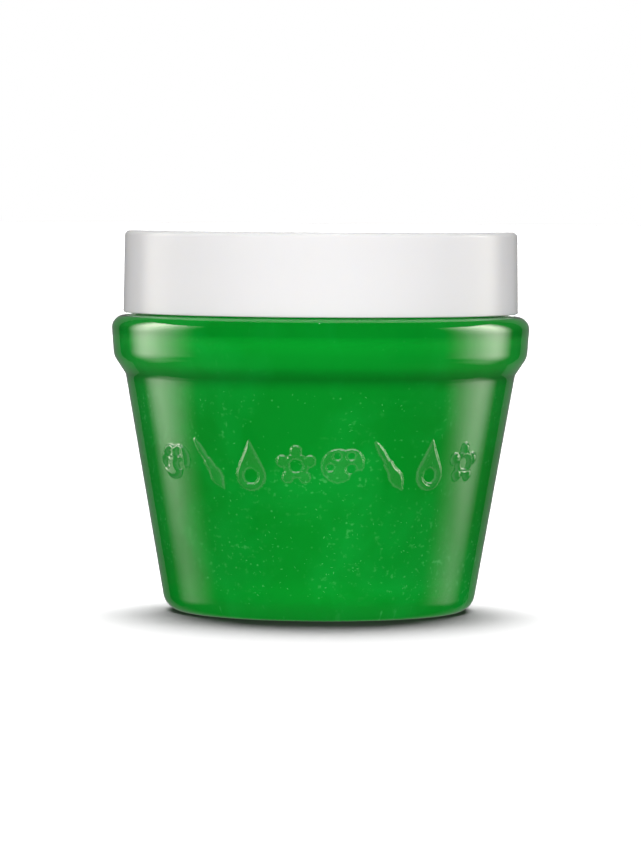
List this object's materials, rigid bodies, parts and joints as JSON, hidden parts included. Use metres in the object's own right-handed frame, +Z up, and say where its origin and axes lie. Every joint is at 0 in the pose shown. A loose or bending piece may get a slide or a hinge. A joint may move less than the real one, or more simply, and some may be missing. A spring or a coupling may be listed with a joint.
{
  "type": "paint jar",
  "caption": "Flowerpot-shaped clear jar of paint with a smooth screw lid, foam liner, threaded insert and a lift-out seal disc with a finger tab.",
  "frame": {"origin": "middle of the foot ring, on the surface that the jar stands on", "axes": "+Z up along the axis of the jar and its lid; -Y towards the front, where the raised marks are"},
  "size_m": [0.0846, 0.0846, 0.077],
  "materials": {
    "clear_jar": "clear heavy-wall moulding, polished",
    "paint": "wet green paint with a fine pearl fleck",
    "seal_disc": "thin soft moulding, slightly milky",
    "foam": "closed-cell foam sheet",
    "insert": "satin moulding",
    "lid": "smooth gloss white"
  },
  "bodies": {
    "jar": {"clear_jar": "clear_jar", "paint_fill": "paint"},
    "liner": {"foam_liner": "foam"},
    "lid": {"lid_shell": "lid", "threaded_insert": "insert"},
    "disc": {"seal_disc": "seal_disc"},
    "tab": {"pull_tab": "seal_disc"}
  },
  "joints": [
    {"name": "lid_rise", "type": "slide", "parent": "jar", "child": "liner", "axis": [0, 0, 1], "range_m": [0, 0.03049]},
    {"name": "lid_turn", "type": "hinge", "parent": "liner", "child": "lid", "pos_m": [0, 0, 0.0604], "axis": [0, 0, 1], "range_deg": [0, 2160]},
    {"name": "disc_lift", "type": "slide", "parent": "jar", "child": "disc", "axis": [0, 0, 1], "range_m": [0, 0.00915]},
    {"name": "tab_lift", "type": "hinge", "parent": "disc", "child": "tab", "pos_m": [0, 0.008, 0.0727], "axis": [-1, 0, 0], "range_deg": [0, 70.1]}
  ],
  "couplings": [
    {"joint": "lid_rise", "follows": "lid_turn", "m_per_rad": 0.00080851},
    {"joint": "disc_lift", "follows": "lid_turn", "m_per_rad": 0.00024255},
    {"joint": "tab_lift", "follows": "lid_turn", "ratio": 0.0324}
  ]
}
